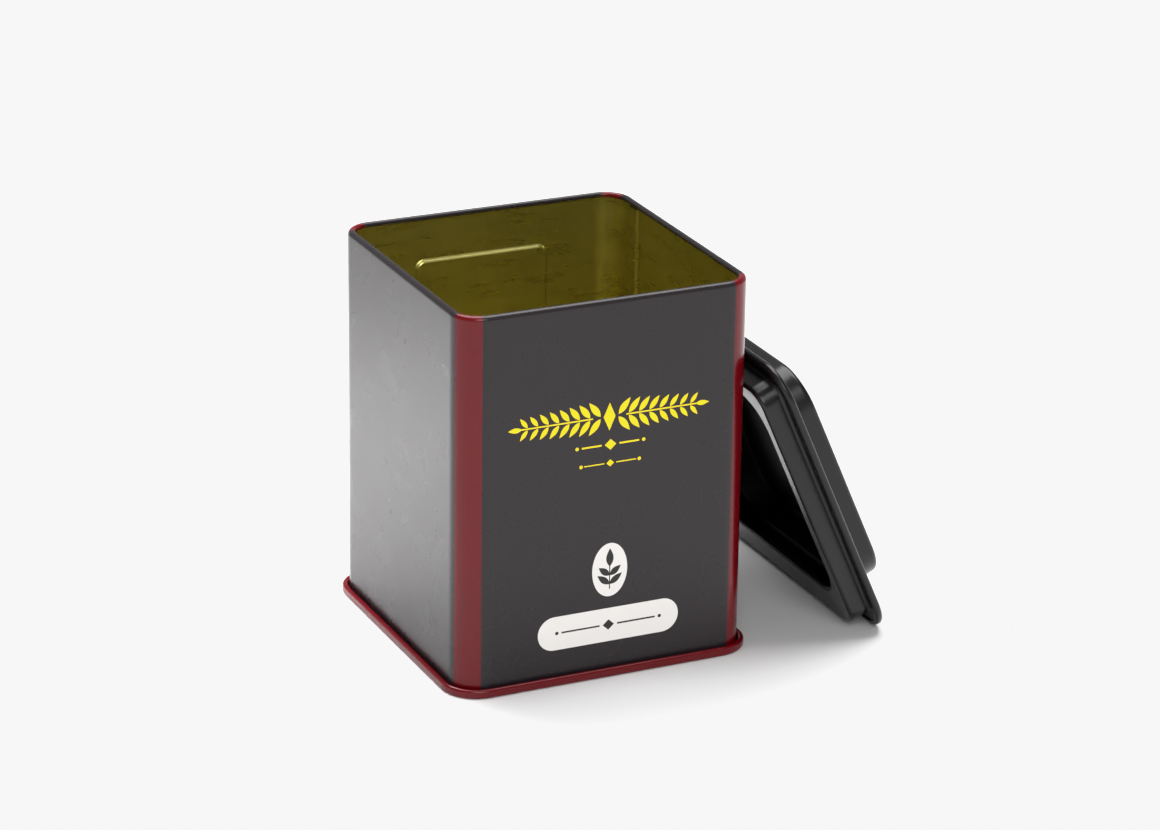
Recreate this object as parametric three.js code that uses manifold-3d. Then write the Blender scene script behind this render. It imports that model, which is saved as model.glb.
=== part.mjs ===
// A square tinplate tea tin and its plug lid, standing open with the lid leaning on one side.
//
// The tin is two pressed pieces: a body sheet rolled round, locked at a side seam and curled in at
// the mouth, and a base pan double seamed to its lower edge. The lid is two more: a stepped cap,
// whose edge is curled over the flange of the plug ring that pushes into the mouth. The ring turns
// in at its foot as a broad rim with a hemmed edge.
// Units are millimetres, +Z is up, and the origin is under the middle of the open set.

import * as THREE from 'three';
import { mergeVertices } from 'three/addons/utils/BufferGeometryUtils.js';
import Module from 'manifold-3d';

const wasm = await Module();
wasm.setup();

// Driving dimensions. A "half" is the distance from the tin's upright axis to a face.
const SHEET = 0.28;               // tinplate with its print and lacquer
const BODY_HALF = 42;             // outside of the walls: the tin is 84 square
const BODY_HEIGHT = 105.7;
const CORNER_CENTRE = 34;         // every piece of the body turns its corners about this point

const SHOULDER_RADIUS = 1.3;      // outside of the mouth's inward curl where it leaves the wall
const CURL_RADIUS = 0.8;          // and from its top onwards
const CURL_TURN = 305;            // degrees that the curl turns through

const SEAM_HALF = 44;             // outside of the double seam round the base
const SEAM_HEIGHT = 2.5;
const SEAM_TOP_RADIUS = 0.68;     // middle of the sheet, as are all the bend radii below
const SEAM_FOOT_RADIUS = 0.6;
const CHUCK_GAP = 0.16;           // between the base's upright wall and the body wall
const CHUCK_FOOT_RADIUS = 0.5;
const BODY_HOOK_HALF = 43.18;
const BODY_HOOK_TOP = 1.75;
const COVER_HOOK_TIP = 1.0;
const PANEL_HEIGHT = 3.2;         // the base panel is held this far off the table
const PANEL_RADIUS = 1.0;

const LOCK_SEAM = { from: 28.7, to: 33.5, proud: 0.8, bottom: 3.7, top: 103.6, chamfer: 0.35 };

const EMBOSS = {                  // label panel pressed into the back wall
  width: 40, top: 92.6, bottom: 34.4, cornerRadius: 2.5, depth: 0.7, stepWidth: 1.0,
};

const LID_BEAD_RADIUS = 1.05;     // outside of the bead that joins the cap to the plug
const LID_BEAD_HALF = 44.2;
const LID_BEAD_RISE = 0.6;        // bead centre above the face that sits on the mouth
const LID_BEAD_FROM = 120;        // degrees round the bead where the cap's shoulder meets it
const LID_BEAD_TO = -115;         // and where the cap's raw edge ends
const LID_SHOULDER_RISE = 0.57;
const LID_TOP_HALF = 35;
const LID_TOP_RISE = 9.2;
const LID_TOP_EDGE_RADIUS = 1.3;
const LID_ROOT_RADIUS = 1.0;
const LID_TOP_CORNER_CENTRE = 23.8;

const PLUG_HALF = 39.7;
const PLUG_DEPTH = 6.15;
const PLUG_FLANGE_EDGE = 43.1;
const PLUG_ROOT_RADIUS = 1.1;
const PLUG_FOOT_RADIUS = 0.9;
const RIM_OPENING_HALF = 32.6;    // the way into the hollow lid, inside the rim's hem
const RIM_CORNER_CENTRE = 23.7;
const RIM_SLOPE = 8;              // degrees that the rim rises on its way in
const HEM_RADIUS = 0.25;
const HEM_TURN = 160;             // degrees that the hem turns through

const LID_LEAN = 23.9;            // degrees from upright
const LID_SIDEWAYS = -4.7;
const LID_WALL_GAP = 0.3;         // left between the leaning rim and the tin

const ARC_STEP = 30;              // degrees
const CORNER_STEPS = 6;

const HALF_SHEET = SHEET / 2;
const WALL_MIDDLE = BODY_HALF - HALF_SHEET;
const radians = THREE.MathUtils.degToRad;

// ---- Sheet sections: points along the middle of the sheet, x = half and y = height ----

function arc(x, y, radius, startDegrees, endDegrees) {
  const turn = endDegrees - startDegrees;
  const steps = Math.ceil(Math.abs(turn) / ARC_STEP);
  const curve = new THREE.EllipseCurve(
    x, y, radius, radius, radians(startDegrees), radians(endDegrees), turn < 0,
  );
  return curve.getPoints(steps);
}

function point(x, y) {
  return new THREE.Vector2(x, y);
}

function withoutRepeats(points) {
  return points.filter((p, i) => i === 0 || p.distanceTo(points[i - 1]) > SHEET / 20);
}

function bodySection() {
  const topX = BODY_HALF - SHOULDER_RADIUS;
  const hookRadius = (BODY_HOOK_HALF - WALL_MIDDLE) / 2;
  const hookX = (BODY_HOOK_HALF + WALL_MIDDLE) / 2;
  const hookY = 2 * SHEET + hookRadius;
  return [
    ...arc(topX, BODY_HEIGHT - CURL_RADIUS, CURL_RADIUS - HALF_SHEET, CURL_TURN, 90),
    ...arc(topX, BODY_HEIGHT - SHOULDER_RADIUS, SHOULDER_RADIUS - HALF_SHEET, 90, 0),
    ...arc(hookX, hookY, hookRadius, 180, 360),
    point(BODY_HOOK_HALF, BODY_HOOK_TOP),
  ];
}

function baseSection() {
  const chuckX = WALL_MIDDLE - SHEET - CHUCK_GAP;
  const outerX = SEAM_HALF - HALF_SHEET;
  const topY = SEAM_HEIGHT - HALF_SHEET - SEAM_TOP_RADIUS;
  const footY = HALF_SHEET + SEAM_FOOT_RADIUS;
  return [
    ...arc(chuckX - PANEL_RADIUS, PANEL_HEIGHT - PANEL_RADIUS, PANEL_RADIUS, 90, 0),
    ...arc(chuckX + CHUCK_FOOT_RADIUS, HALF_SHEET + CHUCK_FOOT_RADIUS, CHUCK_FOOT_RADIUS, 180, 270),
    ...arc(outerX - SEAM_FOOT_RADIUS, footY, SEAM_FOOT_RADIUS, 270, 360),
    ...arc(outerX - SEAM_TOP_RADIUS, topY, SEAM_TOP_RADIUS, 0, 180),
    point(outerX - 2 * SEAM_TOP_RADIUS, COVER_HOOK_TIP),
  ];
}

function capSection() {
  const beadRadius = LID_BEAD_RADIUS - HALF_SHEET;
  const beadX = LID_BEAD_HALF - LID_BEAD_RADIUS;
  const wallX = LID_TOP_HALF - HALF_SHEET;
  const topY = LID_TOP_RISE - HALF_SHEET;
  const bead = arc(beadX, LID_BEAD_RISE, beadRadius, LID_BEAD_FROM, LID_BEAD_TO);
  const slope = radians(LID_BEAD_FROM - 90);
  const shoulderEnd = bead[0].x - (bead[0].y - LID_SHOULDER_RISE) / Math.tan(slope);
  return [
    ...arc(wallX - LID_TOP_EDGE_RADIUS, topY - LID_TOP_EDGE_RADIUS, LID_TOP_EDGE_RADIUS, 90, 0),
    ...arc(wallX + LID_ROOT_RADIUS, LID_SHOULDER_RISE + LID_ROOT_RADIUS, LID_ROOT_RADIUS, 180, 270),
    point(shoulderEnd, LID_SHOULDER_RISE),
    ...bead,
  ];
}

function plugSection() {
  const wallX = PLUG_HALF - HALF_SHEET;
  const footX = wallX - PLUG_FOOT_RADIUS;
  const footY = HALF_SHEET + PLUG_FOOT_RADIUS - PLUG_DEPTH;
  const hemX = RIM_OPENING_HALF + HALF_SHEET + HEM_RADIUS;
  const slope = radians(RIM_SLOPE);
  const smaller = HEM_RADIUS - PLUG_FOOT_RADIUS;
  const hemY = footY + (smaller + (footX - hemX) * Math.sin(slope)) / Math.cos(slope);
  const level = -90 - RIM_SLOPE;
  return [
    point(PLUG_FLANGE_EDGE, HALF_SHEET),
    ...arc(wallX + PLUG_ROOT_RADIUS, HALF_SHEET - PLUG_ROOT_RADIUS, PLUG_ROOT_RADIUS, 90, 180),
    ...arc(footX, footY, PLUG_FOOT_RADIUS, 0, level),
    ...arc(hemX, hemY, HEM_RADIUS, level, level - HEM_TURN),
  ];
}

// ---- Solids ----

// The closed outline of a sheet of even thickness, out along one face and back along the other.
function thicken(section) {
  const middle = withoutRepeats(section);
  const last = middle.length - 1;
  const side = (sign) => middle.map((p, i) => {
    const before = p.clone().sub(middle[Math.max(i - 1, 0)]).normalize();
    const after = middle[Math.min(i + 1, last)].clone().sub(p).normalize();
    const along = before.clone().add(after).normalize();
    const reach = sign * HALF_SHEET / (before.lengthSq() > 0 ? before : after).dot(along);
    return point(p.x - along.y * reach, p.y + along.x * reach);
  });
  return [...side(1), ...side(-1).reverse()];
}

// A rounded rectangle about the origin, counterclockwise, corner by corner.
function roundedRectangle(halfWidth, halfHeight, radius) {
  const points = [];
  for (let corner = 0; corner < 4; corner += 1) {
    const right = corner === 0 || corner === 3 ? 1 : -1;
    const up = corner < 2 ? 1 : -1;
    for (let step = 0; step <= CORNER_STEPS; step += 1) {
      const angle = (corner + step / CORNER_STEPS) * (Math.PI / 2);
      points.push(point(
        right * (halfWidth - radius) + radius * Math.cos(angle),
        up * (halfHeight - radius) + radius * Math.sin(angle),
      ));
    }
  }
  return points;
}

function levelRing(half, height, cornerCentre) {
  return roundedRectangle(half, half, half - cornerCentre)
    .map((p) => new THREE.Vector3(p.x, p.y, height));
}

// A surface through equal rings of points: joined end to end, or closed by a fan at each end.
function skin(rings, joined) {
  const count = rings[0].length;
  const vertices = rings.flat();
  const triangles = [];
  const pairs = joined ? rings.length : rings.length - 1;
  for (let ring = 0; ring < pairs; ring += 1) {
    const here = ring * count;
    const next = ((ring + 1) % rings.length) * count;
    for (let i = 0; i < count; i += 1) {
      const j = (i + 1) % count;
      triangles.push(here + i, here + j, next + j);
      triangles.push(here + i, next + j, next + i);
    }
  }
  if (!joined) {
    const ends = [[0, true], [rings.length - 1, false]];
    for (const [ring, first] of ends) {
      const centre = new THREE.Vector3();
      rings[ring].forEach((p) => centre.add(p));
      vertices.push(centre.divideScalar(count));
      const hub = vertices.length - 1;
      for (let i = 0; i < count; i += 1) {
        const a = ring * count + i;
        const b = ring * count + (i + 1) % count;
        triangles.push(...(first ? [hub, b, a] : [hub, a, b]));
      }
    }
  }
  const geometry = new THREE.BufferGeometry().setFromPoints(vertices);
  geometry.setIndex(triangles);
  return facingOut(geometry);
}

function facingOut(geometry) {
  const index = geometry.index;
  const position = geometry.attributes.position;
  const [a, b, c] = [0, 1, 2].map(() => new THREE.Vector3());
  let volume = 0;
  for (let i = 0; i < index.count; i += 3) {
    a.fromBufferAttribute(position, index.getX(i));
    b.fromBufferAttribute(position, index.getX(i + 1));
    c.fromBufferAttribute(position, index.getX(i + 2));
    volume += a.dot(b.cross(c));
  }
  if (volume < 0) {
    geometry.setIndex(Array.from(index.array).reverse());
  }
  return geometry;
}

// A swept ring of sheet with an open middle.
function sheetRing(section, cornerCentreAt) {
  return skin(thicken(section).map((p) => levelRing(p.x, p.y, cornerCentreAt(p.x))), true);
}

// A sheet that is flat across its middle: the outline's two ends are closed by flat panels.
function sheetPan(section, cornerCentreAt) {
  return skin(thicken(section).map((p) => levelRing(p.x, p.y, cornerCentreAt(p.x))), false);
}

function toSolid(geometry) {
  const bare = geometry.clone();
  bare.deleteAttribute('normal');
  bare.deleteAttribute('uv');
  const merged = mergeVertices(bare, 1e-5);
  return new wasm.Manifold(new wasm.Mesh({
    numProp: 3,
    vertProperties: new Float32Array(merged.attributes.position.array),
    triVerts: new Uint32Array(merged.index.array),
  }));
}

function toGeometry(solid) {
  const mesh = solid.getMesh();
  const geometry = new THREE.BufferGeometry();
  geometry.setAttribute('position', new THREE.BufferAttribute(mesh.vertProperties, mesh.numProp));
  geometry.setIndex(new THREE.BufferAttribute(mesh.triVerts, 1));
  return geometry;
}

// A block with rounded corners standing on edge between two depths, tapering by its step.
function embossBlock(outerY, innerY, grow) {
  const halfWidth = EMBOSS.width / 2;
  const halfHeight = (EMBOSS.top - EMBOSS.bottom) / 2;
  const middle = (EMBOSS.top + EMBOSS.bottom) / 2;
  const slope = EMBOSS.stepWidth / EMBOSS.depth;
  const ring = (y) => {
    const size = (y - (BODY_HALF - SHEET) - grow) * slope;
    return roundedRectangle(halfWidth + size, halfHeight + size, EMBOSS.cornerRadius + size)
      .map((p) => new THREE.Vector3(p.x, y, p.y + middle));
  };
  return toSolid(skin([ring(outerY), ring(innerY)], false));
}

function lockSeamStrip() {
  const face = BODY_HALF - SHEET - LOCK_SEAM.proud;
  const outline = new THREE.Shape([
    point(WALL_MIDDLE, LOCK_SEAM.from),
    point(WALL_MIDDLE, LOCK_SEAM.to),
    point(face + LOCK_SEAM.chamfer, LOCK_SEAM.to),
    point(face, LOCK_SEAM.to - LOCK_SEAM.chamfer),
    point(face, LOCK_SEAM.from + LOCK_SEAM.chamfer),
    point(face + LOCK_SEAM.chamfer, LOCK_SEAM.from),
  ]);
  const strip = new THREE.ExtrudeGeometry(outline, {
    depth: LOCK_SEAM.top - LOCK_SEAM.bottom,
    bevelEnabled: false,
  });
  strip.translate(0, 0, LOCK_SEAM.bottom);
  return toSolid(strip);
}

function bodyShell() {
  const inner = BODY_HALF - SHEET;
  const pressedIn = embossBlock(WALL_MIDDLE, inner - EMBOSS.depth, 0);
  const hollowBehind = embossBlock(BODY_HALF + SHEET, inner - EMBOSS.depth + SHEET, SHEET);
  const walls = toSolid(sheetRing(bodySection(), sameCentre));
  return toGeometry(walls.add(lockSeamStrip()).add(pressedIn).subtract(hollowBehind));
}

function sameCentre() {
  return CORNER_CENTRE;
}

// Corners that turn about a point further in, up to one half, and reach the usual one at another.
function movingCentre(innerHalf, innerCentre, outerHalf) {
  return (half) => {
    const share = THREE.MathUtils.clamp((half - innerHalf) / (outerHalf - innerHalf), 0, 1);
    return THREE.MathUtils.lerp(innerCentre, CORNER_CENTRE, share);
  };
}

// ---- The set ----

const satinBlack = new THREE.MeshStandardMaterial({ color: 0x2b282a, roughness: 0.42, metalness: 0.1 });
const lacquerRed = new THREE.MeshStandardMaterial({ color: 0x6a0d14, roughness: 0.3, metalness: 0.1 });
const capBlack = new THREE.MeshStandardMaterial({ color: 0x1f1c1d, roughness: 0.38, metalness: 0.1 });
const plugBlack = new THREE.MeshStandardMaterial({ color: 0x242021, roughness: 0.36, metalness: 0.2 });

function piece(name, geometry, material) {
  const mesh = new THREE.Mesh(geometry, material);
  geometry.computeVertexNormals();
  mesh.name = name;
  return mesh;
}

const tin = new THREE.Group();
tin.add(piece('body_shell', bodyShell(), satinBlack));
tin.add(piece('base_pan', sheetPan(baseSection(), sameCentre), lacquerRed));

// The lid is modelled about its own axis, with its sitting face at height 0, then turned over to
// lean: its bead on the table and the foot of its plug against the wall.
const capCentre = movingCentre(LID_TOP_HALF, LID_TOP_CORNER_CENTRE, BODY_HALF);
const plugCentre = movingCentre(
  RIM_OPENING_HALF + 2 * HEM_RADIUS + SHEET,
  RIM_CORNER_CENTRE,
  PLUG_HALF - PLUG_FOOT_RADIUS,
);
const lid = new THREE.Group();
lid.add(piece('lid_cap', sheetPan(capSection(), capCentre), capBlack));
lid.add(piece('lid_plug', sheetRing(plugSection(), plugCentre), plugBlack));

lid.rotation.y = Math.PI / 2 - radians(LID_LEAN);
const reach = new THREE.Box3().setFromObject(lid, true);
lid.position.set(BODY_HALF + LID_WALL_GAP - reach.min.x, LID_SIDEWAYS, -reach.min.z);

const set = new THREE.Group();
set.add(tin, lid);
set.updateMatrixWorld(true);
const bounds = new THREE.Box3().setFromObject(set, true);
const middle = bounds.getCenter(new THREE.Vector3());
set.position.set(-middle.x, -middle.y, -bounds.min.z);

export default set;
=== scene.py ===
"""A square lithographed tea tin with its plug lid leaning beside it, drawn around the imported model.

Sizes are in millimetres in the tin's own coordinates: origin under its middle, +Z up, the decorated
face towards -Y, the side seam and the lid on +X. Objects are written in metres in the row frame.
"""
import math

import bmesh
import bpy
from mathutils import Matrix, Vector
from mathutils.geometry import delaunay_2d_cdt


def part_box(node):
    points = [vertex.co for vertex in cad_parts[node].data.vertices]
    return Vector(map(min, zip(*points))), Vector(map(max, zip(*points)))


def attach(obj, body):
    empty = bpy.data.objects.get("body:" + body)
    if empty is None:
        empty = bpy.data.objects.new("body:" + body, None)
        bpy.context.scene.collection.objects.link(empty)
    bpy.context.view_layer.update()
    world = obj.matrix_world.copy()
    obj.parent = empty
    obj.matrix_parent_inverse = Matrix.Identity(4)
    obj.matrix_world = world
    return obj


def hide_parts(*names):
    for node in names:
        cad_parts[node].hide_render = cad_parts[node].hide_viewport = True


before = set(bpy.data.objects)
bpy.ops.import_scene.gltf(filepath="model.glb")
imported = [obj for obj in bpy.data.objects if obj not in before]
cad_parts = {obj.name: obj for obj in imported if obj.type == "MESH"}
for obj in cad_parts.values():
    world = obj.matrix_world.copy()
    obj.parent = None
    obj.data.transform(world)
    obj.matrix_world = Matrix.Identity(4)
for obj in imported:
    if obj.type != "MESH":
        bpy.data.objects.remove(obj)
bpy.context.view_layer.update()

MM = 0.001

# ---- Driving dimensions, as in the model. A half is the distance from the axis to a face. ----
SHEET = 0.28
BODY_HALF = 42.0
BODY_HEIGHT = 105.7
CORNER_CENTRE = 34.0        # corners turn about this point
SHOULDER_RADIUS = 1.3       # outside of the mouth's curl where it leaves the wall
CURL_RADIUS = 0.8           # and from its top onwards
CURL_TURN = 305.0           # degrees, as are all the turns, leans and slopes below

SEAM_HALF = 44.0
SEAM_HEIGHT = 2.5
SEAM_TOP_RADIUS = 0.68
SEAM_FOOT_RADIUS = 0.6
CHUCK_GAP = 0.16
CHUCK_FOOT_RADIUS = 0.5
BODY_HOOK_HALF = 43.18
BODY_HOOK_TOP = 1.75
COVER_HOOK_TIP = 1.0
PANEL_HEIGHT = 3.2
PANEL_RADIUS = 1.0

LOCK_SEAM_FROM = 28.7
LOCK_SEAM_TO = 33.5
LOCK_SEAM_PROUD = 0.8
LOCK_SEAM_SLOPE = 0.3       # width of the slope at each edge of the side seam

EMBOSS_WIDTH = 40.0
EMBOSS_TOP = 92.6
EMBOSS_BOTTOM = 34.4
EMBOSS_CORNER = 2.5
EMBOSS_DEPTH = 0.7
EMBOSS_STEP_WIDTH = 1.0     # of the step in the model
EMBOSS_STEP_REACH = 0.55    # the soft step goes this far out and in from that one's middle
EMBOSS_STEP_ROWS = 12

LID_BEAD_RADIUS = 1.05
LID_BEAD_HALF = 44.2
LID_BEAD_RISE = 0.6
LID_BEAD_FROM = 120.0
LID_BEAD_TO = -115.0
LID_SHOULDER_RISE = 0.57
LID_TOP_HALF = 35.0
LID_TOP_RISE = 9.2
LID_TOP_EDGE_RADIUS = 1.3
LID_ROOT_RADIUS = 1.0
LID_TOP_CORNER_CENTRE = 23.8
LID_LEAN = 23.9

PLUG_HALF = 39.7
PLUG_DEPTH = 6.15
PLUG_FLANGE_EDGE = 43.1
PLUG_ROOT_RADIUS = 1.1
PLUG_FOOT_RADIUS = 0.9
RIM_OPENING_HALF = 32.6
RIM_CORNER_CENTRE = 23.7
RIM_SLOPE = 8.0
HEM_RADIUS = 0.25
HEM_TURN = 160.0

# Fineness of the visible surface.
ARC_STEP = 9.0              # degrees
CORNER_STEPS = 24
SUPPORT = 0.6               # from a bend to the row that keeps the flat beside it flat
SHARP_ANGLE = math.radians(38)

# The flat of the front and back walls between these heights is filled apart, with the print and
# the pressed panel. The loft has one more row beyond each.
WALL_TOP = 103.2
WALL_BOTTOM = 4.2
SEAM_RUNOUT = 0.4

# The red print round a corner starts this many of the corner's steps in from the front or back
# wall, and from a side wall.
STRIPE_FROM_FRONT = 4
STRIPE_FROM_SIDE = 5

HALF_SHEET = SHEET / 2
WALL_MIDDLE = BODY_HALF - HALF_SHEET

body_low, body_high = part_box("body_shell")
TIN_PLACE = Matrix.Translation(((body_low.x + body_high.x) / 2, (body_low.y + body_high.y) / 2, 0))


# ---- Sheet sections: points along the middle of the sheet, (half, height) ----

def arc(x, y, radius, start, end):
    count = max(2, math.ceil(abs(end - start) / ARC_STEP))
    angles = [math.radians(start + (end - start) * i / count) for i in range(count + 1)]
    return [Vector((x + radius * math.cos(a), y + radius * math.sin(a))) for a in angles]


def body_section():
    top_x = BODY_HALF - SHOULDER_RADIUS
    hook_radius = (BODY_HOOK_HALF - WALL_MIDDLE) / 2
    hook_x = (BODY_HOOK_HALF + WALL_MIDDLE) / 2
    rows = (WALL_TOP + SEAM_RUNOUT, WALL_TOP, WALL_BOTTOM, WALL_BOTTOM - SEAM_RUNOUT)
    return [
        *arc(top_x, BODY_HEIGHT - CURL_RADIUS, CURL_RADIUS - HALF_SHEET, CURL_TURN, 90),
        *arc(top_x, BODY_HEIGHT - SHOULDER_RADIUS, SHOULDER_RADIUS - HALF_SHEET, 90, 0),
        *[Vector((WALL_MIDDLE, z)) for z in rows],
        *arc(hook_x, 2 * SHEET + hook_radius, hook_radius, 180, 360),
        Vector((BODY_HOOK_HALF, BODY_HOOK_TOP)),
    ]


def base_section():
    chuck_x = WALL_MIDDLE - SHEET - CHUCK_GAP
    outer_x = SEAM_HALF - HALF_SHEET
    top_y = SEAM_HEIGHT - HALF_SHEET - SEAM_TOP_RADIUS
    foot = CHUCK_FOOT_RADIUS
    toe = SEAM_FOOT_RADIUS
    return [
        Vector((CORNER_CENTRE + SUPPORT, PANEL_HEIGHT)),
        *arc(chuck_x - PANEL_RADIUS, PANEL_HEIGHT - PANEL_RADIUS, PANEL_RADIUS, 90, 0),
        *arc(chuck_x + foot, HALF_SHEET + foot, foot, 180, 270),
        *arc(outer_x - toe, HALF_SHEET + toe, toe, 270, 360),
        *arc(outer_x - SEAM_TOP_RADIUS, top_y, SEAM_TOP_RADIUS, 0, 180),
        Vector((outer_x - 2 * SEAM_TOP_RADIUS, COVER_HOOK_TIP)),
    ]


def cap_section():
    bead_x = LID_BEAD_HALF - LID_BEAD_RADIUS
    wall_x = LID_TOP_HALF - HALF_SHEET
    top_y = LID_TOP_RISE - HALF_SHEET
    edge, root = LID_TOP_EDGE_RADIUS, LID_ROOT_RADIUS
    bead = arc(bead_x, LID_BEAD_RISE, LID_BEAD_RADIUS - HALF_SHEET, LID_BEAD_FROM, LID_BEAD_TO)
    slope = math.tan(math.radians(LID_BEAD_FROM - 90))
    shoulder_end = bead[0].x - (bead[0].y - LID_SHOULDER_RISE) / slope
    return [
        Vector((wall_x - edge - SUPPORT, top_y)),
        *arc(wall_x - edge, top_y - edge, edge, 90, 0),
        *arc(wall_x + root, LID_SHOULDER_RISE + root, root, 180, 270),
        Vector((wall_x + root + SUPPORT, LID_SHOULDER_RISE)),
        Vector((shoulder_end - SUPPORT / 2, LID_SHOULDER_RISE)),
        Vector((shoulder_end + SUPPORT / 3, LID_SHOULDER_RISE + SUPPORT * slope / 3)),
        *bead,
    ]


def plug_section():
    wall_x = PLUG_HALF - HALF_SHEET
    root = PLUG_ROOT_RADIUS
    foot_x, foot_y = wall_x - PLUG_FOOT_RADIUS, HALF_SHEET + PLUG_FOOT_RADIUS - PLUG_DEPTH
    hem_x = RIM_OPENING_HALF + HALF_SHEET + HEM_RADIUS
    slope = math.radians(RIM_SLOPE)
    smaller = HEM_RADIUS - PLUG_FOOT_RADIUS
    hem_y = foot_y + (smaller + (foot_x - hem_x) * math.sin(slope)) / math.cos(slope)
    level = -90 - RIM_SLOPE
    foot = arc(foot_x, foot_y, PLUG_FOOT_RADIUS, 0, level)
    hem = arc(hem_x, hem_y, HEM_RADIUS, level, level - HEM_TURN)
    inward = (hem[0] - foot[-1]).normalized() * SUPPORT
    return [
        Vector((PLUG_FLANGE_EDGE, HALF_SHEET)),
        *arc(wall_x + root, HALF_SHEET - root, root, 90, 180),
        Vector((wall_x, -root - SUPPORT)),
        Vector((wall_x, foot_y + SUPPORT)),
        *foot,
        foot[-1] + inward,
        hem[0] - inward,
        *hem,
    ]


def thicken(section):
    """The two faces of a sheet of even thickness, left of the section's direction and right of it."""
    middle = [p for i, p in enumerate(section) if i == 0 or (p - section[i - 1]).length > SHEET / 50]
    left, right = [], []
    for i, p in enumerate(middle):
        before = (p - middle[i - 1]).normalized() if i else (middle[1] - p).normalized()
        after = (middle[i + 1] - p).normalized() if i + 1 < len(middle) else before
        along = (before + after).normalized()
        reach = HALF_SHEET / before.dot(along)
        side = Vector((-along.y, along.x)) * reach
        left.append(p + side)
        right.append(p - side)
    return left, right


# ---- Stations round the square: (side, kind, value) ----

RIGHT, BACK, LEFT, FRONT = range(4)     # the walls towards +X, +Y, -X and -Y


def stations(extra=None):
    """Round each wall and its following corner. extra gives further places along a side, in mm."""
    found = []
    for side in range(4):
        places = {-CORNER_CENTRE + SUPPORT, CORNER_CENTRE - SUPPORT, *(extra or {}).get(side, ())}
        found += [(side, "wall", place / CORNER_CENTRE) for place in sorted(places)]
        found += [(side, "corner", 90 * i / CORNER_STEPS) for i in range(CORNER_STEPS + 1)]
    return found


def plan(station, half, centre):
    side, kind, value = station
    if kind == "wall":
        p = Vector((half, value * centre))
    else:
        a = math.radians(value)
        p = Vector((centre + (half - centre) * math.cos(a), centre + (half - centre) * math.sin(a)))
    for _ in range(side):
        p = Vector((-p.y, p.x))
    return p


def same_centre(half):
    return CORNER_CENTRE


def moving_centre(inner_half, inner_centre, outer_half):
    """Corners that turn about a point further in, up to one half, and reach the usual one at another."""
    def centre_at(half):
        share = max(0.0, min(1.0, (half - inner_half) / (outer_half - inner_half)))
        return inner_centre + (CORNER_CENTRE - inner_centre) * share
    return centre_at


def loft(bm, outline, places, joined, centre_at, material, skip=None, shift=None):
    """Rings of vertices through the outline, with faces between them. Returns the rings."""
    rings = []
    for i, p in enumerate(outline):
        ring = []
        for station in places:
            half = p.x - (shift(i, station) if shift else 0)
            flat = plan(station, half, centre_at(p.x))
            ring.append(bm.verts.new((flat.x, flat.y, p.y)))
        rings.append(ring)
    count = len(places)
    for i in range(len(rings) if joined else len(rings) - 1):
        here, following = rings[i], rings[(i + 1) % len(rings)]
        for j in range(count):
            k = (j + 1) % count
            if skip and skip(i, j):
                continue
            face = bm.faces.new((here[j], here[k], following[k], following[j]))
            face.material_index = material(i, j)
    if not joined:
        bm.faces.new(rings[0][::-1]).material_index = material(0, 0)
        bm.faces.new(rings[-1]).material_index = material(len(rings) - 2, 0)
    return rings


# ---- Wall faces filled inside their own outline ----

def counterclockwise(numbers, points):
    area = sum(
        points[a].x * points[b].y - points[b].x * points[a].y
        for a, b in zip(numbers, numbers[1:] + numbers[:1])
    )
    return numbers if area > 0 else numbers[::-1]


def fill(bm, boundary, wall, shapes, hole=None):
    """Fills an outline in the plane y = wall. shapes are (points, material), the ground first.

    Returns the vertices round the shape numbered hole, which is left open."""
    points = [Vector((v.co.x, v.co.z)) for v in boundary]
    faces = [list(range(len(points)))]
    for outline, _ in shapes[1:]:
        faces.append(list(range(len(points), len(points) + len(outline))))
        points += outline
    loops = [counterclockwise(face, points) for face in faces]
    verts, _, tris, sources, _, inside = delaunay_2d_cdt(points, [], loops, 1, 1e-5, True)
    made = []
    for p, source in zip(verts, sources):
        own = [s for s in source if s < len(boundary)]
        made.append(boundary[own[0]] if own else bm.verts.new((p.x, wall, p.y)))
    for tri, owners in zip(tris, inside):
        if hole is not None and hole in owners:
            continue
        bm.faces.new([made[i] for i in tri]).material_index = shapes[max(owners)][1]
    if hole is None:
        return []
    found = {s: made[i] for i, source in enumerate(sources) for s in source}
    return [found[s] for s in faces[hole]]


def rounded_rectangle(half_width, half_height, radius, middle, steps=8):
    points = []
    for corner, (sx, sy) in enumerate(((1, 1), (-1, 1), (-1, -1), (1, -1))):
        for i in range(steps + 1):
            a = math.radians(90 * (corner + i / steps))
            points.append(Vector((
                middle.x + sx * (half_width - radius) + radius * math.cos(a),
                middle.y + sy * (half_height - radius) + radius * math.sin(a),
            )))
    return points


# ---- Print: generic ornament in place of lettering and marks ----

def ellipse(middle, half_width, half_height, steps=64):
    angles = [2 * math.pi * i / steps for i in range(steps)]
    return [middle + Vector((half_width * math.cos(a), half_height * math.sin(a))) for a in angles]


def leaf(foot, length, width, degrees, steps=9):
    """A pointed leaf from its foot, fullest a little below the middle."""
    turn = Matrix.Rotation(math.radians(degrees), 2)
    half = [
        Vector((length * t, width / 2 * math.sin(math.pi * t ** 0.85)))
        for t in (i / steps for i in range(1, steps))
    ]
    outline = [Vector((0, 0)), *[Vector((p.x, -p.y)) for p in half], Vector((length, 0)), *half[::-1]]
    return [foot + turn @ p for p in outline]


def lozenge(middle, half_width, half_height):
    return [
        middle + Vector(p)
        for p in ((half_width, 0), (0, half_height), (-half_width, 0), (0, -half_height))
    ]


def bar(middle, half_width, half_height):
    corners = ((half_width, -half_height), (half_width, half_height),
               (-half_width, half_height), (-half_width, -half_height))
    return [middle + Vector(p) for p in corners]


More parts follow.
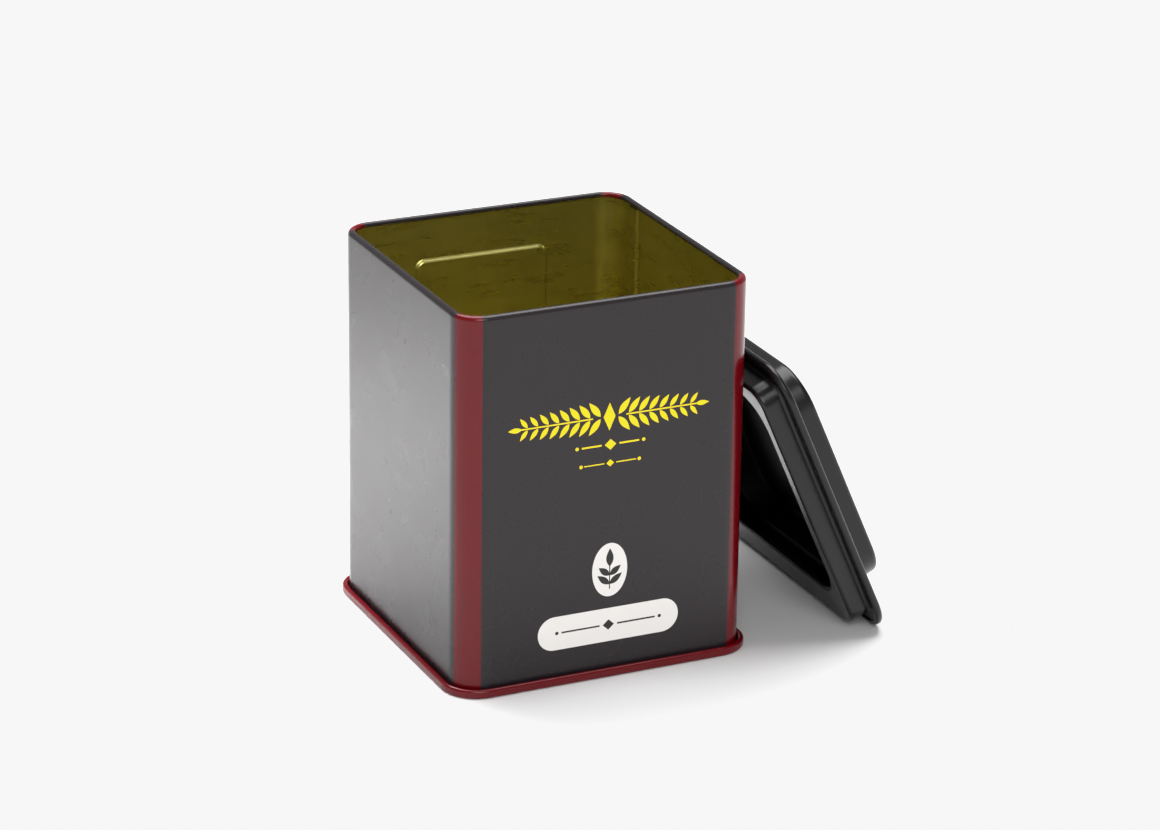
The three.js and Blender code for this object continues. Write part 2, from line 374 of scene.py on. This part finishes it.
def garland(middle, half_width, leaf_length):
    """A laurel band: paired leaves along a stem, pointing away from a lozenge in the middle."""
    pairs = 8
    first_pair = 2.6                # from the middle
    leaf_turn = 52                  # degrees off the stem
    stem_gap = 0.32                 # from the stem's middle to a leaf's foot
    end_leaf_length = leaf_length * 0.72
    spacing = (half_width - leaf_length * 0.75) / pairs
    shapes = [lozenge(middle, 1.7, end_leaf_length)]
    for sign in (-1, 1):
        stem = middle + Vector((sign * (half_width / 2 + 1.4), 0))
        shapes.append(bar(stem, half_width / 2 - 3.4, 0.2))
        for i in range(pairs):
            size = leaf_length * (1 - 0.05 * i)
            foot = middle + Vector((sign * (first_pair + spacing * i), 0))
            for up in (-1, 1):
                angle = up * leaf_turn if sign > 0 else 180 - up * leaf_turn
                shapes.append(leaf(foot + Vector((0, up * stem_gap)), size, size * 0.34, angle))
        tip = middle + Vector((sign * (first_pair + spacing * (pairs - 0.45)), 0))
        shapes.append(leaf(tip, end_leaf_length, leaf_length * 0.26, 0 if sign > 0 else 180))
    return shapes


def dotted_rule(middle, half_width, half_height):
    """A small lozenge between two thin rules, with a dot beyond the end of each."""
    shapes = [lozenge(middle, half_height * 1.1, half_height)]
    for sign in (-1, 1):
        length = half_width - half_height * 2.6
        centre = middle + Vector((sign * (half_height * 1.7 + length / 2), 0))
        shapes.append(bar(centre, length / 2, half_height * 0.16))
        shapes.append(ellipse(middle + Vector((sign * half_width, 0)), 0.5, 0.5, 20))
    return shapes


def sprig(middle, height):
    """A stem with two pairs of leaves and a bud."""
    foot = middle - Vector((0, height / 2))
    shapes = [bar(middle - Vector((0, height * 0.12)), 0.16, height * 0.36)]
    shapes.append(leaf(middle + Vector((0, height * 0.08)), height * 0.46, height * 0.19, 90, 14))
    for rise, size in ((0.14, 0.4), (0.36, 0.36)):
        for degrees in (38, 142):
            start = foot + Vector((0, height * rise))
            shapes.append(leaf(start, height * size, height * 0.16, degrees, 14))
    return shapes


CHARCOAL, RED, GOLD, STEEL, YELLOW_INK, IVORY_INK, DARK_INK = range(7)


def front_print():
    """The front wall's ornament as (outline, ink), each over the ones before it."""
    garland_middle = Vector((-0.05, 73.5))
    rule_middle, lower_rule_middle = Vector((0.35, 65.7)), Vector((0.35, 60.5))
    oval_middle = Vector((0.74, 30.17))
    pill_middle, pill_half_height = Vector((0.61, 14.42)), 4.78
    pill = rounded_rectangle(20.5, pill_half_height, pill_half_height - 0.01, pill_middle, 20)
    layers = (
        (garland(garland_middle, half_width=27.8, leaf_length=5.4), YELLOW_INK),
        (dotted_rule(rule_middle, half_width=9.6, half_height=1.5), YELLOW_INK),
        (dotted_rule(lower_rule_middle, half_width=8.4, half_height=1.0), YELLOW_INK),
        ([ellipse(oval_middle, 5.1, 7.6)], IVORY_INK),
        (sprig(oval_middle, height=11.4), DARK_INK),
        ([pill], IVORY_INK),
        (dotted_rule(pill_middle, half_width=15.0, half_height=1.5), DARK_INK),
    )
    return [(outline, ink) for outlines, ink in layers for outline in outlines]


# ---- The four sheets ----

def seam_rise(place):
    """How far the side seam stands in from the wall, at a place along it."""
    up = (place - LOCK_SEAM_FROM) / LOCK_SEAM_SLOPE
    down = (LOCK_SEAM_TO - place) / LOCK_SEAM_SLOPE
    return LOCK_SEAM_PROUD * max(0.0, min(1.0, up, down))


def seam_places():
    """Places along the right wall that follow the two slopes of the side seam."""
    return [
        edge + inward * LOCK_SEAM_SLOPE * share
        for edge, inward in ((LOCK_SEAM_FROM, 1), (LOCK_SEAM_TO, -1))
        for share in (-0.5, 0, 0.25, 0.75, 1, 1.6)
    ]


def on_stripe(station):
    """Whether the strip that starts at a station has the red print of a corner."""
    side, kind, value = station
    if kind != "corner":
        return False
    step = round(value * CORNER_STEPS / 90)
    start, end = STRIPE_FROM_FRONT, STRIPE_FROM_SIDE
    if side in (RIGHT, LEFT):
        start, end = end, start
    return start <= step < CORNER_STEPS - end


def on_wall(station, side):
    """Whether the strip that starts at a station lies in the flat of a wall."""
    return station[:2] == (side, "wall") or station == ((side - 1) % 4, "corner", 90.0)


def gap(rings, places, row, side):
    """The vertices round the opening left in a wall between two rings."""
    used = [j for j, station in enumerate(places) if on_wall(station, side)]
    used.append((used[-1] + 1) % len(places))
    return [rings[row][j] for j in used] + [rings[row + 1][j] for j in used[::-1]]


def body_mesh(bm):
    """The body sheet, with openings in its loft that the print and the pressed panel then fill."""
    left, right = thicken(body_section())
    outline = left + right[::-1]
    outer_row = next(i for i, p in enumerate(left) if abs(p.y - WALL_TOP) < 0.01)
    inner_row = len(outline) - 2 - outer_row
    places = stations({RIGHT: seam_places()})
    openings = ((outer_row, FRONT), (outer_row, BACK), (inner_row, BACK))

    def shift(i, station):
        side, kind, value = station
        on_seam = side == RIGHT and kind == "wall" and inner_row <= i <= inner_row + 1
        return seam_rise(value * CORNER_CENTRE) if on_seam else 0.0

    def material(i, j):
        if i >= len(left):
            return GOLD
        if i == len(left) - 1:
            return STEEL
        return RED if on_stripe(places[j]) else CHARCOAL

    def skip(i, j):
        return any(i == row and on_wall(places[j], side) for row, side in openings)

    rings = loft(bm, outline, places, True, same_centre, material, skip, shift)
    printed, pressed_outside, pressed_inside = [gap(rings, places, *opening) for opening in openings]
    fill(bm, printed, -BODY_HALF, [([], CHARCOAL), *front_print()])
    emboss(bm, pressed_outside, BODY_HALF, CHARCOAL)
    emboss(bm, pressed_inside, BODY_HALF - SHEET, GOLD)


def emboss(bm, boundary, wall, material):
    """Fills the back wall with its pressed label panel: a soft step down to a flat."""
    middle = Vector((0, (EMBOSS_TOP + EMBOSS_BOTTOM) / 2))
    half_width = (EMBOSS_WIDTH - EMBOSS_STEP_WIDTH) / 2
    half_height = (EMBOSS_TOP - EMBOSS_BOTTOM - EMBOSS_STEP_WIDTH) / 2

    def ring(share):
        grow = EMBOSS_STEP_REACH * (1 - 2 * share)
        return rounded_rectangle(half_width + grow, half_height + grow, EMBOSS_CORNER + grow, middle)

    last = fill(bm, boundary, wall, [([], material), (ring(0), material)], hole=1)
    for row in range(1, EMBOSS_STEP_ROWS + 1):
        share = row / EMBOSS_STEP_ROWS
        depth = EMBOSS_DEPTH * (1 - math.cos(math.pi * share)) / 2
        following = [bm.verts.new((p.x, wall - depth, p.y)) for p in ring(share)]
        for i in range(len(last)):
            k = (i + 1) % len(last)
            bm.faces.new((last[i], last[k], following[k], following[i])).material_index = material
        last = following
    bm.faces.new(last).material_index = material


def pan_mesh(section, centre_at, over, under):
    """A maker for a sheet that is flat across its middle. Its two faces have materials of their own."""
    def make(bm):
        left, right = thicken(section)
        outline = left + right[::-1]

        def material(i, j):
            return over if i < len(left) else under
        loft(bm, outline, stations(), False, centre_at, material)
    return make


def plug_mesh(bm):
    """The plug ring: gloss outside, dull inside and over the turned edge of its rim, where its near
    black is painted shade.
    """
    left, right = thicken(plug_section())
    outline = left + right[::-1]

    def material(i, j):
        return int(i >= len(left) or outline[i].x < RIM_OPENING_HALF + 4 * HEM_RADIUS)
    loft(bm, outline, stations(), True, plug_centre, material)


cap_centre = moving_centre(LID_TOP_HALF, LID_TOP_CORNER_CENTRE, BODY_HALF)
plug_centre = moving_centre(
    RIM_OPENING_HALF + 2 * HEM_RADIUS + SHEET, RIM_CORNER_CENTRE, PLUG_HALF - PLUG_FOOT_RADIUS)


def build(name, make, materials, place):
    """A piece from a maker that works in millimetres, put where place says."""
    bm = bmesh.new()
    make(bm)
    bmesh.ops.recalc_face_normals(bm, faces=bm.faces)
    for face in bm.faces:
        face.smooth = True
    for edge in bm.edges:
        edge.smooth = edge.calc_face_angle(0.0) < SHARP_ANGLE
    bm.transform(place @ Matrix.Scale(MM, 4))
    mesh = bpy.data.meshes.new(name)
    bm.to_mesh(mesh)
    bm.free()
    for material in materials:
        mesh.materials.append(material)
    piece = bpy.data.objects.new(name, mesh)
    bpy.context.scene.collection.objects.link(piece)
    weigh = piece.modifiers.new("even_flats", "WEIGHTED_NORMAL")
    weigh.keep_sharp = True
    weigh.weight = 100
    return piece


def lid_place(makers):
    """Where the lid's own coordinates lie: leaning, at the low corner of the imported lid's box."""
    turn = Matrix.Rotation(math.radians(90 - LID_LEAN), 4, "Y")
    low = Vector((math.inf,) * 3)
    for make in makers:
        bm = bmesh.new()
        make(bm)
        for vert in bm.verts:
            low = Vector(map(min, low, turn @ vert.co))
        bm.free()
    boxes = [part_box(node) for node in ("lid_cap", "lid_plug")]
    corner = Vector(map(min, boxes[0][0], boxes[1][0]))
    return Matrix.Translation(corner - low * MM) @ turn


# ---- Materials ----

def linear(red, green, blue):
    """A colour given in the 0 to 255 steps of a colour picker."""
    shares = (c / 255 for c in (red, green, blue))
    return (*(c / 12.92 if c <= 0.04045 else ((c + 0.055) / 1.055) ** 2.4 for c in shares), 1.0)


NOISE_LOW, NOISE_HIGH = 0.3, 0.7        # most of a noise's values lie between these


class Nodes:
    """A material's node tree, with one Principled shader."""

    def __init__(self, name):
        self.material = bpy.data.materials.new(name)
        self.material.use_nodes = True
        self.tree = self.material.node_tree
        self.shader = self.tree.nodes["Principled BSDF"]

    def add(self, kind):
        return self.tree.nodes.new(kind)

    def link(self, source, target):
        self.tree.links.new(source, target)

    def noise(self, scale, stretch=(1, 1, 1), detail=3.0):
        """Noise in the object's own coordinates, with scale in cycles per metre."""
        place = self.add("ShaderNodeTexCoord")
        mapping = self.add("ShaderNodeMapping")
        mapping.inputs["Scale"].default_value = [scale * s for s in stretch]
        noise = self.add("ShaderNodeTexNoise")
        noise.inputs["Scale"].default_value = 1.0
        noise.inputs["Detail"].default_value = detail
        noise.inputs["Roughness"].default_value = 0.55
        self.link(place.outputs["Object"], mapping.inputs["Vector"])
        self.link(mapping.outputs["Vector"], noise.inputs["Vector"])
        return noise.outputs["Fac"]

    def spread(self, value, low, high):
        """Maps a noise's middle range onto low to high."""
        span = self.add("ShaderNodeMapRange")
        span.inputs["From Min"].default_value = NOISE_LOW
        span.inputs["From Max"].default_value = NOISE_HIGH
        span.inputs["To Min"].default_value = low
        span.inputs["To Max"].default_value = high
        self.link(value, span.inputs["Value"])
        return span.outputs["Result"]

    def tint(self, value, dark, light):
        """Colours the surface from dark to light by a noise."""
        ramp = self.add("ShaderNodeValToRGB")
        low, high = ramp.color_ramp.elements
        low.position, low.color = NOISE_LOW, dark
        high.position, high.color = NOISE_HIGH, light
        self.link(value, ramp.inputs["Fac"])
        self.link(ramp.outputs["Color"], self.shader.inputs["Base Color"])

    def set(self, **values):
        for key, value in values.items():
            self.shader.inputs[key.replace("_", " ")].default_value = value


def lacquer(name, dark, light, roughness, gloss):
    """A printed or lacquered sheet: faint cloudiness and an uneven sheen."""
    nodes = Nodes(name)
    nodes.tint(nodes.noise(16, detail=1), linear(*dark), linear(*light))
    sheen = nodes.spread(nodes.noise(90, detail=2), roughness * 0.94, roughness * 1.06)
    nodes.link(sheen, nodes.shader.inputs["Roughness"])
    nodes.set(Specular_IOR_Level=gloss)
    return nodes.material


def gold_lacquer():
    """Clear yellow lacquer over rolled tinplate: metallic, with faint level streaks of its rolling."""
    nodes = Nodes("gold_lacquer")
    streaks = nodes.noise(1, stretch=(30, 30, 120), detail=1)
    nodes.tint(streaks, linear(210, 202, 120), linear(216, 208, 127))
    sheen = nodes.spread(nodes.noise(1, stretch=(60, 60, 400)), 0.26, 0.32)
    nodes.link(sheen, nodes.shader.inputs["Roughness"])
    nodes.set(Metallic=1.0, Coat_Weight=0.05, Coat_Roughness=0.12)
    return nodes.material


def bare_steel():
    nodes = Nodes("cut_edge_steel")
    nodes.tint(nodes.noise(800), linear(120, 118, 116), linear(170, 168, 165))
    nodes.set(Metallic=1.0, Roughness=0.4)
    return nodes.material


body_materials = [
    lacquer("charcoal_print", (35, 30, 33), (38, 32, 36), 0.28, 0.34),
    lacquer("dark_red_print", (98, 3, 13), (106, 5, 16), 0.2, 0.34),
    gold_lacquer(),
    bare_steel(),
    lacquer("yellow_ink", (250, 222, 8), (254, 228, 14), 0.38, 0.3),
    lacquer("ivory_ink", (240, 236, 231), (245, 242, 237), 0.42, 0.3),
    lacquer("dark_ink", (40, 38, 38), (46, 44, 44), 0.42, 0.3),
]
lid_black = lacquer("black_satin_lid", (16, 14, 15), (20, 18, 19), 0.30, 0.35)
plug_black = lacquer("black_plug_lacquer", (16, 14, 15), (20, 18, 19), 0.26, 0.35)
# Near black here is painted shade: the lid's inside, the cap's underside and the plug's turned rim edge
# lie in the lid's shade.
lid_painted_shade_inside = lacquer("painted_shade_inside_lacquer", (8, 5, 4), (11, 7, 5), 0.5, 0.15)


# ---- Put together ----

cap_mesh = pan_mesh(cap_section(), cap_centre, over=0, under=1)
base_mesh = pan_mesh(base_section(), same_centre, over=1, under=0)
LID_PLACE = lid_place((cap_mesh, plug_mesh))

BASE_MATERIALS = [body_materials[RED], body_materials[GOLD]]

# name, maker, materials, place, body, the node that it replaces, material slot
PIECES = (
    ("tin_body", body_mesh, body_materials, TIN_PLACE,
     "tin", "body_shell", "printed_black_tinplate"),
    ("tin_base", base_mesh, BASE_MATERIALS, TIN_PLACE,
     "tin", "base_pan", "printed_red_tinplate"),
    ("lid_top", cap_mesh, [lid_black, lid_painted_shade_inside], LID_PLACE,
     "lid", "lid_cap", "black_lid_lacquer"),
    ("lid_plug_ring", plug_mesh, [plug_black, lid_painted_shade_inside], LID_PLACE,
     "lid", "lid_plug", "black_plug_lacquer"),
)
for piece_name, maker, piece_materials, where, body, node, slot in PIECES:
    piece = build(piece_name, maker, piece_materials, where)
    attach(piece, body)
    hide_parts(node)


# ---- Studio ----

# The camera stands before the tin, turned to its left and raised, and looks at AIM. The angles are
# in degrees, the places in metres and the lens in millimetres.
AIM = TIN_PLACE @ Vector((0.01237, 0.00334, 0.07888))
CAMERA_TURN = 25.146
CAMERA_RISE = 19.908
CAMERA_ROLL = 0.843
CAMERA_DISTANCE = 1.1347
CAMERA_LENS = 130.456
CAMERA_SHIFT = -0.0681

FLOOR_HALF = 6.0            # metres
WALL_LIGHT = 0.45           # of the room round the tin
CEILING_LIGHT = 0.2
WORLD_WALL_TOP = 0.55       # height where the room is as dim as its ceiling, 1 being overhead
PAPER_WHITE = 0.93          # what overexposed paper is shown as
TONE_KNEE = 0.75            # tones are held back from here up


def studio_floor():
    mesh = bpy.data.meshes.new("studio_floor")
    size = FLOOR_HALF
    corners = [(-size, -size, 0), (size, -size, 0), (size, size, 0), (-size, size, 0)]
    mesh.from_pydata(corners, [], [(0, 1, 2, 3)])
    floor = bpy.data.objects.new("studio_floor", mesh)
    bpy.context.scene.collection.objects.link(floor)
    nodes = Nodes("studio_paper")
    nodes.set(Base_Color=(0.86, 0.855, 0.86, 1), Roughness=0.9, Specular_IOR_Level=0.1)
    mesh.materials.append(nodes.material)


def soft_light(name, place, target, size, power, spread=180):
    """A rectangular lamp in metres and watts. A spread under 180 degrees narrows its beam."""
    data = bpy.data.lights.new(name, "AREA")
    data.shape = "RECTANGLE"
    data.size, data.size_y = size
    data.energy = power
    data.spread = math.radians(spread)
    lamp = bpy.data.objects.new(name, data)
    lamp.location = place
    lamp.rotation_mode = "QUATERNION"
    lamp.rotation_quaternion = (Vector(target) - Vector(place)).to_track_quat("-Z", "Y")
    bpy.context.scene.collection.objects.link(lamp)


def camera():
    data = bpy.data.cameras.new("camera")
    data.lens = CAMERA_LENS
    data.sensor_width = 36
    data.shift_y = CAMERA_SHIFT
    data.clip_end = 50
    turn, rise, roll = (math.radians(a) for a in (CAMERA_TURN, CAMERA_RISE, CAMERA_ROLL))
    ahead = Vector((math.sin(turn) * math.cos(rise), math.cos(turn) * math.cos(rise), -math.sin(rise)))
    level = Vector((math.cos(turn), -math.sin(turn), 0))
    up = level.cross(ahead)
    right = math.cos(roll) * level + math.sin(roll) * up
    up = right.cross(ahead)
    eye = bpy.data.objects.new("camera", data)
    eye.matrix_world = Matrix.Translation(AIM - ahead * CAMERA_DISTANCE) @ Matrix(
        (right, up, -ahead)).transposed().to_4x4()
    bpy.context.scene.collection.objects.link(eye)
    bpy.context.scene.camera = eye


def studio_world():
    """A room that is bright round its walls and dim overhead."""
    world = bpy.data.worlds.new("studio")
    world.use_nodes = True
    tree = world.node_tree
    place = tree.nodes.new("ShaderNodeTexCoord")
    split = tree.nodes.new("ShaderNodeSeparateXYZ")
    ramp = tree.nodes.new("ShaderNodeValToRGB")
    low, high = ramp.color_ramp.elements
    low.position, low.color = WORLD_WALL_TOP / 2, (WALL_LIGHT,) * 3 + (1,)
    high.position, high.color = WORLD_WALL_TOP, (CEILING_LIGHT,) * 3 + (1,)
    tree.links.new(place.outputs["Generated"], split.inputs["Vector"])
    tree.links.new(split.outputs["Z"], ramp.inputs["Fac"])
    tree.links.new(ramp.outputs["Color"], tree.nodes["Background"].inputs["Color"])
    bpy.context.scene.world = world


def tone():
    """Overexposed paper is held a little below full white."""
    view = bpy.context.scene.view_settings
    view.view_transform = "Standard"
    view.use_curve_mapping = True
    view.curve_mapping.extend = "HORIZONTAL"
    curve = view.curve_mapping.curves[3]
    curve.points[1].location = (1.0, PAPER_WHITE)
    curve.points.new(TONE_KNEE, TONE_KNEE)
    for point in curve.points:
        point.handle_type = "VECTOR"
    view.curve_mapping.update()


studio_floor()
soft_light("top_box", place=(0.1, 0.34, 1.35), target=(0, 0, 0), size=(1.5, 1.1), power=36)
soft_light("front_box", place=(-0.3, -1.2, 0.9), target=(0, 0, 0), size=(0.8, 0.8), power=9)
# Brightens the paper left of and behind the tin, which the left wall mirrors.
soft_light("left_pool", place=(-0.16, 0.2, 0.3), target=(-0.1, 0.14, 0), size=(0.14, 0.14),
           power=0.25, spread=58)
studio_world()
camera()
tone()
